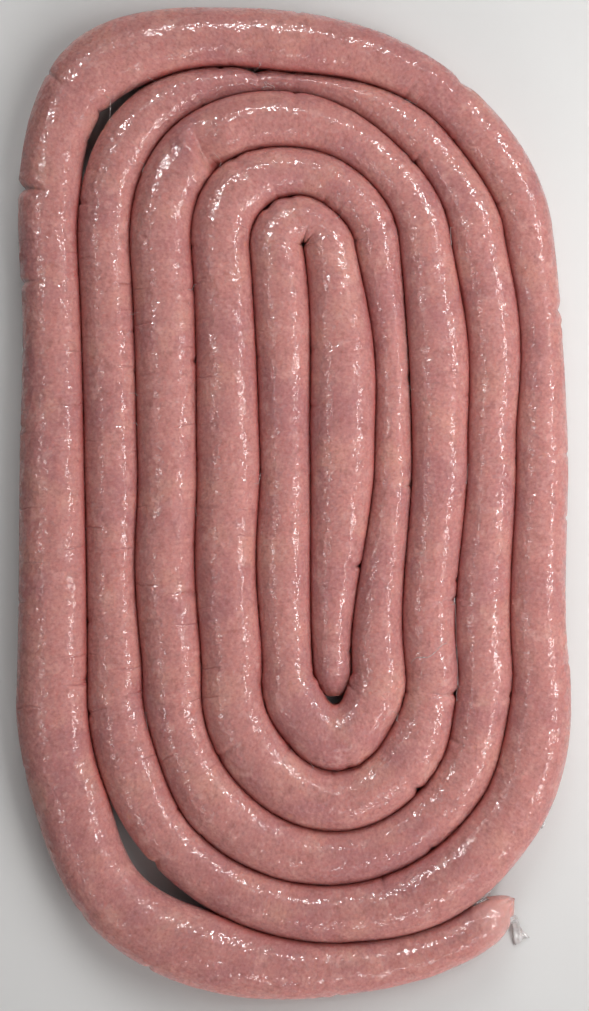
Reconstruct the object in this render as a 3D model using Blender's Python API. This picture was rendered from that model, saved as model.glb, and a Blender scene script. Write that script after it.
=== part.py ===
"""A raw sausage: one long rope of minced pork in a natural casing, coiled flat on a surface.

The rope starts at a closed tip in the middle of the coil. It runs to the back, folds over
and comes forward again, and from there it is wound outwards, counter-clockwise, each turn
pressed against the turn inside it. It ends at the front right, where the last of the empty
casing trails from it. X points right, Y points to the back and Z up, and the rope lies on
Z = 0. Lengths are in millimetres until a point goes into the mesh.
"""

import math

import bmesh
import bpy
from mathutils import Vector

METRES_PER_MM = 0.001

# The coil is wound about a straight core line, from its front bend to its back fold.
FRONT_BEND = Vector((20.7, -88.5))
BACK_FOLD = Vector((5.0, 134.7))

# One turn passes twelve stations, counter-clockwise. Two of them are the middles of the
# straight runs, and the other ten stand every 45 degrees round the two ends of the core line:
# right front, right middle, right back, back right, back, back left,
# left back, left middle, left front, front left, front, front right.
STATIONS = 12
RIGHT_RUN_END, BACK_BEND_END, LEFT_RUN_END = 2, 6, 8
BEND_STEP = math.radians(45)

# The innermost seam, measured out from the core line at each station.
CORE_SEAM = (-10.5, -4.0, 0.0, 1.0, 2.0, 1.0, 0.0, 4.0, 10.5, 11.5, 17.0, 10.5)
# The room that the rope takes at each station, one row for each turn from the inside out.
ROPE_WIDTHS = (
    (20.5, 33.5, 27.0, 23.5, 25.0, 27.5, 28.0, 26.5, 27.0, 31.0, 34.5, 31.0),
    (28.0, 20.0, 23.5, 24.0, 25.0, 32.0, 30.5, 33.0, 31.5, 34.0, 31.5, 32.0),
    (27.5, 29.0, 27.0, 24.0, 29.0, 32.0, 32.0, 31.0, 31.0, 33.0, 28.0, 28.5),
    (28.5, 25.5, 28.0, 22.5, 11.0, 27.0, 27.5, 28.0, 29.0, 28.5, 30.5, 35.0),
    (30.0, 27.5, 26.0, 25.5, 32.0, 42.0, 31.0, 34.5, 37.5, 46.0, 27.5, 25.0),
)
ROPE_END = 58.6  # the last full section, in stations from the innermost right front
# Halfway between two stations, some seams bow outwards from a smooth curve, or inwards:
# seam station and millimetres.
SEAM_BOWS = (
    (13.5, 2.3),
    (19.5, 3.8),
    (31.5, 3.0),
    (35.5, -2.3),
    (37.5, 3.0),
    (43.5, 3.2),
    (44.5, -2.8),
    (47.5, -2.2),
    (49.5, 3.6),
    (50.5, -2.3),
    (58.5, 2.5),
    (64.5, -3.6),
    (65.5, -2.0),
    (68.5, -3.8),
    (70.5, 2.2),
)

# Half of the gap between two turns that lie against each other.
SEAM_CLEARANCE = 0.25
# Where the outermost turn stands off the one inside it: station, half its length in
# stations, and the widest part of the gap.
STAND_OFFS = ((53.2, 0.45, 5.0), (56.95, 0.45, 8.5))

# The section: as high as this where it is 30 mm wide, and flattened where it rests.
NOMINAL_WIDTH = 30.0
NOMINAL_HEIGHT = 27.5
HEIGHT_FOLLOWS_WIDTH = 0.4
WIDEST_AT = 0.47  # the share of the height at which the section is widest
SQUARENESS = 2.2  # 2 is an ellipse
FOOT_PRESS = 1.05  # over 1 flattens the foot
SECTION_SIDES = 14

# Kinks in the casing: station, side (1 outer, -1 inner, 0 both), depth, and how far the
# top sinks there. Each is a narrow fold across the rope.
KINKS = (
    (0.49, 1, 2.6, 0.8),
    (3.85, -1, 1.2, 1.6),
    (13.35, 1, 1.4, 0.5),
    (22.71, 1, 1.4, 0.5),
    (23.66, 1, 3.4, 1.6),
    (24.3, 1, 1.8, 0.7),
    (28.93, -1, 4.6, 2.4),
    (40.25, 0, 1.0, 3.2),
    (44.95, 1, 1.8, 0.8),
    (49.62, 1, 1.8, 0.7),
    (50.91, 1, 2.6, 1.0),
    (53.15, -1, 2.2, 1.0),
    (53.65, 1, 3.8, 1.6),
    (54.08, 1, 2.2, 0.8),
)
KINK_HALF_LENGTH = 3.2

BEND_RINGS = 5  # sections to each 45 degrees of a bend
RUN_RINGS = 4  # sections to each half of a straight run

# The closed tip: its length, and the sections that round it off, as shares of that length
# and of the width where it starts.
TIP_LENGTH = 13.0
TIP_PROFILE = ((0.3, 0.86), (0.6, 0.67), (0.84, 0.48), (0.97, 0.28))
TIP_AXIS_HEIGHT = 0.42

# The outer end, from the last full section on: forward, outward, share of the width, and
# the height of the axis it draws in to.
END_PROFILE = (
    (5.0, -0.7, 0.92, 0.45),
    (9.7, -1.3, 0.76, 0.44),
    (14.2, -1.9, 0.54, 0.42),
    (17.2, -2.4, 0.34, 0.38),
    (19.0, -2.5, 0.17, 0.34),
)
# The empty casing that trails from it: forward, outward, half width, low and high.
CASING_TAIL = (
    (20.6, -2.2, 1.5, 6.2, 9.2),
    (21.8, -0.6, 1.4, 4.4, 7.2),
    (21.4, 2.4, 1.4, 2.4, 5.0),
    (19.4, 5.8, 1.4, 0.6, 3.2),
    (16.8, 9.6, 1.4, 0.0, 2.5),
    (14.4, 13.4, 1.6, 0.0, 2.2),
    (13.0, 16.8, 2.4, 0.0, 1.9),
    (12.3, 19.2, 3.4, 0.0, 1.6),
    (12.0, 20.4, 2.8, 0.0, 1.2),
)

TIGHTEST_BEND = 12.0  # the seam's slope is worked out as if no bend were tighter
CORE_LINE = BACK_FOLD - FRONT_BEND
TO_BACK = CORE_LINE.normalized()
TO_RIGHT = Vector((TO_BACK.y, -TO_BACK.x))


def seam_table():
    """How far out each seam lies at each station: the turns inside it, added up."""
    rows = [list(CORE_SEAM)]
    for widths in ROPE_WIDTHS:
        rows.append([reach + width for reach, width in zip(rows[-1], widths)])
    return [reach for row in rows for reach in row]


SEAM_TABLE = seam_table()


def is_run(station):
    """True on the straight runs, and False in the bends."""
    place = station % STATIONS
    return place < RIGHT_RUN_END or BACK_BEND_END <= place < LEFT_RUN_END


def core_frame(place):
    """The point of the core line that faces this place in the turn, and the way outwards."""
    place %= STATIONS
    if place < RIGHT_RUN_END:
        return FRONT_BEND + CORE_LINE * place / RIGHT_RUN_END, TO_RIGHT
    if BACK_BEND_END <= place < LEFT_RUN_END:
        run = (place - BACK_BEND_END) / (LEFT_RUN_END - BACK_BEND_END)
        return BACK_FOLD - CORE_LINE * run, -TO_RIGHT
    if place < BACK_BEND_END:
        centre, angle = BACK_FOLD, (place - RIGHT_RUN_END) * BEND_STEP
    else:
        centre, angle = FRONT_BEND, math.pi + (place - LEFT_RUN_END) * BEND_STEP
    return centre, TO_RIGHT * math.cos(angle) + TO_BACK * math.sin(angle)


def span_length(index):
    """About how long the seam is between this station and the next."""
    if is_run(index):
        return CORE_LINE.length / 2
    mean_reach = (abs(SEAM_TABLE[index]) + abs(SEAM_TABLE[index + 1])) / 2
    return max(mean_reach, TIGHTEST_BEND) * BEND_STEP


def seam_slope(index):
    """How fast the seam moves outwards at a station, for each millimetre along it."""
    last = len(SEAM_TABLE) - 1
    slopes, lengths = [], []
    for start in (index - 1, index):
        if 0 <= start < last:
            lengths.append(span_length(start))
            slopes.append((SEAM_TABLE[start + 1] - SEAM_TABLE[start]) / lengths[-1])
    if len(slopes) == 1:
        return slopes[0]
    return (slopes[0] * lengths[1] + slopes[1] * lengths[0]) / sum(lengths)


def seam_reach(u):
    """How far out the seam lies, u stations along it, on a smooth curve through the table."""
    if u < RIGHT_RUN_END:  # the first run and the second share one seam
        return -seam_reach(LEFT_RUN_END - u)
    index = min(int(u), len(SEAM_TABLE) - 2)
    f = u - index
    length = span_length(index)
    return (
        SEAM_TABLE[index] * (1 + 2 * f) * (1 - f) ** 2
        + SEAM_TABLE[index + 1] * f * f * (3 - 2 * f)
        + seam_slope(index) * length * f * (1 - f) ** 2
        + seam_slope(index + 1) * length * f * f * (f - 1)
        + dict(SEAM_BOWS).get(index + 0.5, 0.0) * 16 * f * f * (1 - f) ** 2
    )


def seam_point(u):
    base, outwards = core_frame(u)
    return base + outwards * seam_reach(u)


def shared_places():
    """The places where both neighbours of a seam have a section, so that they match."""
    places = []
    for index in range(math.ceil(ROPE_END) + STATIONS):
        steps = RUN_RINGS if is_run(index) else BEND_RINGS
        places += [index + step / steps for step in range(steps)]
    return places


SHARED_PLACES = shared_places()
SHARED_POINTS = [seam_point(u) for u in SHARED_PLACES]


def faceted_seam(u):
    """The seam as the neighbours build it, straight from one shared section to the next."""
    after = next(i for i, place in enumerate(SHARED_PLACES) if place > u)
    share = (u - SHARED_PLACES[after - 1]) / (SHARED_PLACES[after] - SHARED_PLACES[after - 1])
    return SHARED_POINTS[after - 1].lerp(SHARED_POINTS[after], share)


def stand_off(u):
    """How far the rope's inner side stands off its neighbour."""
    for centre, half, depth in STAND_OFFS:
        if abs(u - centre) < half:
            return depth * math.cos((u - centre) / half * math.pi / 2) ** 2
    return 0.0


def height_of(width):
    return NOMINAL_HEIGHT * (width / NOMINAL_WIDTH) ** HEIGHT_FOLLOWS_WIDTH


def millimetres_per_station(u):
    """How far the middle of the rope moves while u grows by one."""
    step = 0.02
    ahead = faceted_seam(u + step) + faceted_seam(u + step + STATIONS)
    here = faceted_seam(u) + faceted_seam(u + STATIONS)
    return (ahead - here).length / 2 / step


def sections_along_rope():
    """Where the full sections stand, each with the kink that shapes it, if any."""
    found = {u: None for u in SHARED_PLACES if 0.0 <= u <= ROPE_END}
    found[ROPE_END] = None
    for kink in KINKS:
        reach = KINK_HALF_LENGTH / millimetres_per_station(kink[0])
        found.setdefault(kink[0] - reach, None)
        found.setdefault(kink[0] + reach, None)
        found[kink[0]] = kink
    return sorted(found.items())


def rope_section(u, kink):
    """The middle of the section, the way to its outer side, its low and its high."""
    inner, outer = faceted_seam(u), faceted_seam(u + STATIONS)
    across = (outer - inner).normalized()
    inner = inner + across * (SEAM_CLEARANCE + stand_off(u))
    outer = outer - across * SEAM_CLEARANCE
    height = height_of((outer - inner).length)
    if kink:
        _, side, depth, sink = kink
        inner = inner + across * depth * (side <= 0)
        outer = outer - across * depth * (side >= 0)
        height -= sink
    return (inner + outer) / 2, (outer - inner) / 2, 0.0, height


def scaled_section(section, centre, share, axis_height):
    """A smaller copy of a section, drawn in towards an axis at that share of its height."""
    _, side, _, high = section
    axis = axis_height * high
    return centre, side * share, axis * (1 - share), axis + (high - axis) * share


def tip_sections(first):
    """The closed tip, from its point to the first full section."""
    made = []
    for along, share in reversed(TIP_PROFILE):
        centre = first[0] - TO_BACK * TIP_LENGTH * along
        made.append(scaled_section(first, centre, share, TIP_AXIS_HEIGHT))
    point = first[0] - TO_BACK * TIP_LENGTH
    return (point, TIP_AXIS_HEIGHT * first[3]), made


def end_sections(last):
    """The tied end and the empty casing that trails from it."""
    centre, side, _, _ = last
    outward = side.normalized()
    forward = Vector((-outward.y, outward.x))
    made = [
        scaled_section(last, centre + forward * along + outward * shift, share, axis_height)
        for along, shift, share, axis_height in END_PROFILE
    ]
    path = [centre + forward * tail[0] + outward * tail[1] for tail in CASING_TAIL]
    for i, (_, _, half_width, low, high) in enumerate(CASING_TAIL):
        before = path[i - 1] if i else made[-1][0]
        heading = (path[min(i + 1, len(path) - 1)] - before).normalized()
        made.append((path[i], Vector((heading.y, -heading.x)) * half_width, low, high))
    _, _, _, _, tail_high = CASING_TAIL[-1]
    tail_end = path[-1] + (path[-1] - path[-2]) * 0.5
    return made, (tail_end, tail_high / 2)


def section_outline(section):
    """The corners of a section, from its outer side over the top and under the foot."""
    centre, side, low, high = section
    middle = low + (high - low) * WIDEST_AT
    corners = []
    for step in range(SECTION_SIDES):
        angle = 2 * math.pi * step / SECTION_SIDES
        out = math.copysign(abs(math.cos(angle)) ** (2 / SQUARENESS), math.cos(angle))
        up = abs(math.sin(angle)) ** (2 / SQUARENESS)
        if math.sin(angle) > 0:
            height = middle + (high - middle) * up
        else:
            height = max(low, middle - (middle - low) * FOOT_PRESS * up)
        corners.append((*(centre + side * out), height))
    return corners


def rope_mesh():
    """One closed skin over all sections, with its box centred on the origin."""
    rope = [rope_section(u, kink) for u, kink in sections_along_rope()]
    (tip_point, tip_height), tip = tip_sections(rope[0])
    end, (tail_point, tail_height) = end_sections(rope[-1])
    rings = [section_outline(section) for section in tip + rope + end]
    caps = [(*tip_point, tip_height), (*tail_point, tail_height)]

    skin = [corner for ring in rings for corner in ring]
    middle = [(min(c[i] for c in skin) + max(c[i] for c in skin)) / 2 for i in (0, 1)]
    origin = Vector((*middle, 0.0))

    made = bmesh.new()
    loops = [
        [made.verts.new((Vector(corner) - origin) * METRES_PER_MM) for corner in ring]
        for ring in rings
    ]
    for near, far in zip(loops, loops[1:]):
        for i in range(SECTION_SIDES):
            j = (i + 1) % SECTION_SIDES
            made.faces.new((near[i], near[j], far[j], far[i]))
    for loop, cap in ((loops[0], caps[0]), (loops[-1], caps[1])):
        point = made.verts.new((Vector(cap) - origin) * METRES_PER_MM)
        for i in range(SECTION_SIDES):
            made.faces.new((loop[i], loop[(i + 1) % SECTION_SIDES], point))
    bmesh.ops.recalc_face_normals(made, faces=made.faces)
    mesh = bpy.data.meshes.new("sausage_rope")
    made.to_mesh(mesh)
    made.free()
    mesh.shade_smooth()
    return mesh


def raw_sausage_material():
    material = bpy.data.materials.new("raw_sausage")
    material.use_nodes = True
    shader = material.node_tree.nodes["Principled BSDF"]
    shader.inputs["Base Color"].default_value = (0.52, 0.24, 0.21, 1.0)
    shader.inputs["Roughness"].default_value = 0.3
    shader.inputs["Metallic"].default_value = 0.0
    return material


def main():
    for old in list(bpy.data.objects):
        bpy.data.objects.remove(old)
    mesh = rope_mesh()
    mesh.materials.append(raw_sausage_material())
    rope = bpy.data.objects.new("sausage_rope", mesh)
    bpy.context.scene.collection.objects.link(rope)


main()
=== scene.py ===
"""A long raw sausage, coiled flat in an oval spiral, as it lies on the butcher's counter.

The sections follow the rope as it is made: the filled skin and the way it is wound, the
empty casing at its end, the threads and the web of casing that cling to it, and last the
counter, the lamps and the camera.
"""

import math

import bpy
import numpy as np
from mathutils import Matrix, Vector, noise


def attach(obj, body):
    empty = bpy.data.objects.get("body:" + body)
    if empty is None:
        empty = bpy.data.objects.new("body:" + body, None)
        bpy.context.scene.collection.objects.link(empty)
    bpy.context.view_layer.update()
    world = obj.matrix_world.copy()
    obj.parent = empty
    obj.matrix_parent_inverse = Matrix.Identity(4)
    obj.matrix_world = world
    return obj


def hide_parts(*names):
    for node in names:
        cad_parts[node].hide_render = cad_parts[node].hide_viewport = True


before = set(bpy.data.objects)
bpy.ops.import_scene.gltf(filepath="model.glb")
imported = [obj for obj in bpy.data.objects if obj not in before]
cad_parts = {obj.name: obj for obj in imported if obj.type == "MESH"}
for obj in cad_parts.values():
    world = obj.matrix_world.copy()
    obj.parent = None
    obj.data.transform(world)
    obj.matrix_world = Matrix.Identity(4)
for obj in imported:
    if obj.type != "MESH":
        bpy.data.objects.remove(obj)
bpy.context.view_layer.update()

# ---------------------------------------------------------------------------------------
# The filled skin. Coarse raw pork in a natural hog casing: about 30 mm wide, a little
# flattened where it rests, pressed against its neighbours and crossed by folds where the
# strand was bent. It is one tube from the closed tip to the blunt end.
# ---------------------------------------------------------------------------------------

# The strand is wound flat and counter-clockwise round a straight core line, each turn laid
# against the turn inside it, so two neighbours share one seam. Lengths are in millimetres,
# and twelve stations make one turn: two straight runs with a bend after each.
FRONT_BEND = np.array((20.52, -88.65))  # the ends of the core line, which the bends turn round
BACK_BEND = np.array((4.82, 134.55))
STATIONS = 12
RIGHT_RUN_END, BACK_BEND_END, LEFT_RUN_END = 2, 6, 8
BEND_STEP = math.radians(45)  # from one station of a bend to the next
TIGHTEST_BEND = 12.0  # a seam's slope is never worked out for a tighter one

# How far out from the core line the innermost seam lies at its twelve stations, and then
# how wide the strand is at each station, a row for each turn.
core_seam = (-10.5, -4.0, 0.0, 1.0, 2.0, 1.0, 0.0, 4.0, 10.5, 11.5, 17.0, 10.5)
rope_widths = (
    (20.5, 33.5, 27.0, 23.5, 25.0, 27.5, 28.0, 26.5, 27.0, 31.0, 34.5, 31.0),
    (28.0, 20.0, 23.5, 24.0, 25.0, 32.0, 30.5, 33.0, 31.5, 34.0, 31.5, 32.0),
    (27.5, 29.0, 27.0, 24.0, 29.0, 32.0, 32.0, 31.0, 31.0, 33.0, 28.0, 28.5),
    (28.5, 25.5, 28.0, 22.5, 11.0, 27.0, 27.5, 28.0, 29.0, 28.5, 30.5, 35.0),
    (30.0, 27.5, 26.0, 25.5, 32.0, 42.0, 31.0, 34.5, 37.5, 46.0, 27.5, 25.0),
)
# Halfway between two stations some seams bow out from the smooth curve, or in.
seam_bows = {
    13: 2.3, 19: 3.8, 31: 3.0, 35: -2.3, 37: 3.0, 43: 3.2, 44: -2.8, 47: -2.2,
    49: 3.6, 50: -2.3, 58: 2.5, 64: -3.6, 65: -2.0, 68: -3.8, 70: 2.2,
}  # fmt: skip
# The first bend hugs the closed tip on both flanks, and leaves a small hole below it.
tip_hug = {9: -1.1, 11: -0.4}
hug_bows = {8: -0.9, 9: -1.2, 10: -0.9, 11: -0.5}
# Where the outermost turn stands off its neighbour: station, half length in stations, gap.
stand_offs = ((53.2, 0.45, 5.0), (56.95, 0.45, 8.5))
ROPE_END = 58.6

core_line = BACK_BEND - FRONT_BEND
run_length = float(np.hypot(*core_line))
to_back = core_line / run_length
to_right = np.array((to_back[1], -to_back[0]))

seam_rows = [np.array(core_seam)]
for turn_widths in rope_widths:
    seam_rows.append(seam_rows[-1] + np.array(turn_widths))
seam_reaches = np.concatenate(seam_rows)
seam_count = len(seam_reaches)
for station, nudge in tip_hug.items():
    seam_reaches[station] += nudge

bow_of_span = np.zeros(seam_count)
for span, bow in (seam_bows | hug_bows).items():
    bow_of_span[span] = bow

place_of_span = np.arange(seam_count - 1) % STATIONS
span_is_run = (place_of_span < RIGHT_RUN_END) | (
    (place_of_span >= BACK_BEND_END) & (place_of_span < LEFT_RUN_END)
)
mean_reach = (np.abs(seam_reaches[1:]) + np.abs(seam_reaches[:-1])) / 2
span_lengths = np.where(
    span_is_run, run_length / 2, np.maximum(mean_reach, TIGHTEST_BEND) * BEND_STEP
)
rises = np.diff(seam_reaches) / span_lengths
seam_slopes = np.empty(seam_count)
seam_slopes[0], seam_slopes[-1] = rises[0], rises[-1]
seam_slopes[1:-1] = (rises[:-1] * span_lengths[1:] + rises[1:] * span_lengths[:-1]) / (
    span_lengths[1:] + span_lengths[:-1]
)


def smooth_between(start, stop, leave, arrive, f):
    """A value this share of the way from start to stop, given its slope where it leaves and
    where it arrives."""
    return (
        start * (1 + 2 * f) * (1 - f) ** 2
        + stop * f * f * (3 - 2 * f)
        + leave * f * (1 - f) ** 2
        + arrive * f * f * (f - 1)
    )


def seam_reach(u):
    """How far out the seam lies at station u. The first run shares its seam with the second."""
    shared = u < RIGHT_RUN_END
    w = np.where(shared, LEFT_RUN_END - u, u)
    i = np.minimum(w.astype(int), seam_count - 2)
    f = w - i
    leave, arrive = seam_slopes[i] * span_lengths[i], seam_slopes[i + 1] * span_lengths[i]
    smooth = smooth_between(seam_reaches[i], seam_reaches[i + 1], leave, arrive, f)
    reach = smooth + bow_of_span[i] * 16 * f * f * (1 - f) ** 2
    return np.where(shared, -reach, reach)


def seam_point(u):
    """Where the seam passes station u."""
    place = u % STATIONS
    right_run = place < RIGHT_RUN_END
    back_bend = ~right_run & (place < BACK_BEND_END)
    left_run = (place >= BACK_BEND_END) & (place < LEFT_RUN_END)
    along = np.select(
        [right_run, back_bend, left_run],
        [place / RIGHT_RUN_END, 1.0, (LEFT_RUN_END - place) / (LEFT_RUN_END - BACK_BEND_END)],
        0.0,
    )
    angle = np.select(
        [right_run, back_bend, left_run],
        [0.0, (place - RIGHT_RUN_END) * BEND_STEP, math.pi],
        math.pi + (place - LEFT_RUN_END) * BEND_STEP,
    )
    outwards = np.outer(np.cos(angle), to_right) + np.outer(np.sin(angle), to_back)
    return FRONT_BEND + np.outer(along, core_line) + outwards * seam_reach(u)[:, None]


def stand_off(u):
    """How far the strand stands off the turn inside it at station u."""
    gap = np.zeros_like(u)
    for centre, half, depth in stand_offs:
        near = np.clip((u - centre) / half, -1, 1)
        gap += depth * np.cos(near * math.pi / 2) ** 2
    return gap


# The section of the strand, and how finely it is made.
NOMINAL_WIDTH = 30.0
NOMINAL_HEIGHT = 27.5
HEIGHT_FOLLOWS_WIDTH = 0.4  # at 0 every section is equally high, at 1 all have one shape
WIDEST_AT = 0.47  # share of the height
SQUARENESS = 2.05  # at 2 it is an ellipse
FOOT_PRESS = 1.05  # how many times as far down it would reach with no counter under it
NEIGHBOUR_PRESS = 0.045  # share by which a side would swell with nothing beside it
PRESS_SETS_IN = 0.4  # stations from the tip
PRESS_LETS_GO = 0.3  # stations before the outermost turn
PRESS_LOST_AT = 1.5  # gap between two turns
SEAM_CLEARANCE = 0.05
RING_STEP = 2.6
SIDES_OVER, SIDES_UNDER = 30, 10  # corners over the widest line, and under it

# Folds across the strand: station, side (degrees round from the outer side), depth, half
# length before and after, how many degrees round it fades, and how it leans.
folds = (
    (0.49, 0, 1.7, 1.4, 1.4, 105, 0.0),
    (3.85, 180, 0.3, 3.0, 3.0, 120, 0.0),
    (13.35, 0, 1.1, 2.5, 2.5, 60, 0.0),
    (22.71, 0, 1.4, 1.8, 1.8, 80, 0.0),
    (23.66, 8, 2.3, 1.2, 1.3, 125, 0.1),
    (24.3, 0, 1.6, 1.5, 1.5, 95, 0.0),
    (28.93, 116, 7.4, 7.0, 2.6, 66, -0.25),
    (40.25, 30, 2.4, 3.6, 3.4, 110, 0.0),
    (44.95, 0, 1.8, 2.2, 2.2, 70, 0.0),
    (49.62, 0, 1.6, 2.2, 2.2, 85, 0.0),
    (50.91, 0, 1.3, 3.4, 2.8, 95, 0.15),
    (53.15, 180, 2.0, 2.4, 2.4, 58, -0.1),
    (53.65, 5, 3.6, 1.7, 2.4, 110, 0.0),
    (54.08, 5, 1.9, 1.6, 1.8, 100, 0.0),
)

# Slight folds pucker the casing all along, mostly at its sides.
SLIGHT_FOLDS = 120
CHANCE_SEED = 11
chance = np.random.default_rng(CHANCE_SEED)
slight_folds = []
for place in (np.arange(SLIGHT_FOLDS) + chance.uniform(0.1, 0.9, SLIGHT_FOLDS)) / SLIGHT_FOLDS:
    side = chance.choice((0, 180)) + chance.uniform(-18, 18)
    depth = chance.uniform(0.45, 1.2)
    before, after = chance.uniform(0.8, 1.6, 2)
    fades = chance.uniform(35, 100)
    lean = chance.uniform(-0.2, 0.2)
    slight_folds.append((place * ROPE_END, side, depth, before, after, fades, lean))

# How long the strand is up to each of many fine steps between the stations.
FINE_STEPS = 24000
fine = np.linspace(0.0, ROPE_END, FINE_STEPS + 1)
fine_middle = (seam_point(fine) + seam_point(fine + STATIONS)) / 2
fine_length = np.concatenate(([0.0], np.cumsum(np.hypot(*np.diff(fine_middle, axis=0).T))))
rope_length = float(fine_length[-1])

# Rings stand closer where a fold crosses. The crowding is in rings to a millimetre.
FOLD_CROWDING, SLIGHT_FOLD_CROWDING = 1.5, 0.8
crowding = np.full(len(fine), 1.0 / RING_STEP)
for crossing_folds, extra in ((folds, FOLD_CROWDING), (slight_folds, SLIGHT_FOLD_CROWDING)):
    for station, _, _, before, after, _, _ in crossing_folds:
        at = np.interp(station, fine, fine_length)
        crowding += extra * np.exp(-(((fine_length - at) / (before + after)) ** 2))
ring_number = np.concatenate(
    ([0.0], np.cumsum((crowding[1:] + crowding[:-1]) / 2 * np.diff(fine_length)))
)
run_rings = int(ring_number[-1])
ring_u = np.interp(np.linspace(0, ring_number[-1], run_rings), ring_number, fine)

inner = seam_point(ring_u)
outer = seam_point(ring_u + STATIONS)
across = outer - inner
across /= np.hypot(*across.T)[:, None]
inner = inner + across * (SEAM_CLEARANCE + stand_off(ring_u))[:, None]
outer = outer - across * SEAM_CLEARANCE
ring_middle = (inner + outer) / 2
ring_half = np.hypot(*(outer - inner).T) / 2
ring_high = NOMINAL_HEIGHT * (2 * ring_half / NOMINAL_WIDTH) ** HEIGHT_FOLLOWS_WIDTH
ring_along = np.interp(ring_u, fine, fine_length)
start_share = np.clip(ring_u / PRESS_SETS_IN, 0, 1)
not_outermost = np.clip((ROPE_END - STATIONS - ring_u) / PRESS_LETS_GO, 0, 1)
inside_press = NEIGHBOUR_PRESS * start_share * np.clip(1 - stand_off(ring_u) / PRESS_LOST_AT, 0, 1)
outside_press = NEIGHBOUR_PRESS * start_share * not_outermost

# The closed tip, drawn in towards a point on its axis.
TIP_LENGTH = 13.0
TIP_RINGS = 8
TIP_CROWDING = 1.6  # its rings stand closer towards the point
TIP_TAPER = 0.33  # at 1 it is a straight cone, nearer 0 it is blunter
TIP_AXIS = 0.42  # share of the height
TIP_POINT = 0.3  # past the last ring
tip_steps = 1 - (np.arange(1, TIP_RINGS + 1) / (TIP_RINGS + 1)) ** TIP_CROWDING
tip_share = (1 - tip_steps) ** TIP_TAPER
tip_axis = TIP_AXIS * ring_high[0]
tip_middle = ring_middle[0] - np.outer(tip_steps * TIP_LENGTH, to_back)
tip_half = ring_half[0] * tip_share
tip_low = tip_axis * (1 - tip_share)
tip_high = tip_axis + (ring_high[0] - tip_axis) * tip_share
tip_along = -tip_steps * TIP_LENGTH

# The blunt end, which leans a little towards the turn beside it.
END_LENGTH = 19.6
END_RINGS = 12
END_CROWDING = 1.5
END_SHOULDER, END_TAPER = 1.6, 0.62  # at 2 and 0.5 it is the end of an ellipse
END_AXIS, END_AXIS_SINKS = 0.45, 0.1  # shares of the height
END_LEAN, END_LEAN_GROWS = 2.5, 1.1
END_POINT = 1.4
end_steps = 1 - (1 - np.arange(1, END_RINGS + 1) / (END_RINGS + 1)) ** END_CROWDING
end_share = (1 - end_steps**END_SHOULDER) ** END_TAPER
end_axis = (END_AXIS - END_AXIS_SINKS * end_steps) * ring_high[-1]
end_forward = np.array((-across[-1][1], across[-1][0]))
end_middle = (
    ring_middle[-1]
    + np.outer(end_steps * END_LENGTH, end_forward)
    + np.outer(-END_LEAN * end_steps**END_LEAN_GROWS, across[-1])
)
end_half = ring_half[-1] * end_share
end_low = end_axis * (1 - end_share)
end_high = end_axis + (ring_high[-1] - end_axis) * end_share
end_along = rope_length + end_steps * END_LENGTH


def with_both_ends(run_values):
    """Values for the run's rings, with 0 for each ring of the tip and of the end."""
    return np.concatenate((np.zeros(TIP_RINGS), run_values, np.zeros(END_RINGS)))


middles = np.vstack((tip_middle, ring_middle, end_middle))
outwards = np.vstack(
    (np.tile(across[0], (TIP_RINGS, 1)), across, np.tile(across[-1], (END_RINGS, 1)))
)
halves = np.concatenate((tip_half, ring_half, end_half))
lows = np.concatenate((tip_low, np.zeros(run_rings), end_low))
highs = np.concatenate((tip_high, ring_high, end_high))
alongs = np.concatenate((tip_along, ring_along, end_along))
inside_press = with_both_ends(inside_press)
outside_press = with_both_ends(outside_press)
rings = len(halves)

# Corners round the section, from the outer side over the top and under the foot.
turn_angles = np.concatenate(
    (
        np.linspace(0, math.pi, SIDES_OVER, endpoint=False),
        np.linspace(math.pi, 2 * math.pi, SIDES_UNDER, endpoint=False),
    )
)
sides = len(turn_angles)
cosine, sine = np.cos(turn_angles), np.sin(turn_angles)
bulge = (np.abs(cosine) ** SQUARENESS + np.abs(sine) ** SQUARENESS) ** (-1 / SQUARENESS)
out_share, up_share = cosine * bulge, sine * bulge

waist = lows + (highs - lows) * WIDEST_AT
height_over, height_under = (highs - waist)[:, None], FOOT_PRESS * (waist - lows)[:, None]
reach_up = np.where(up_share > 0, height_over, height_under)
press = np.where(out_share > 0, outside_press[:, None], inside_press[:, None])
sideways = halves[:, None] * out_share * (1 + press)
upright = waist[:, None] + reach_up * up_share
from_middle = np.hypot(sideways, upright - waist[:, None])


def skin_corners(inward):
    """The skin's corners, each moved this far towards the strand's own middle line."""
    most_out, most_in = -0.3, 0.8  # shares of the way
    keep = 1 - np.clip(inward / np.maximum(from_middle, 1.0), most_out, most_in)
    spread = np.clip(sideways * keep, -halves[:, None], halves[:, None])
    made = np.empty((rings, sides, 3))
    made[:, :, :2] = middles[:, None, :] + outwards[:, None, :] * spread[:, :, None]
    made[:, :, 2] = np.maximum(lows[:, None], waist[:, None] + (upright - waist[:, None]) * keep)
    return made


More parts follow.
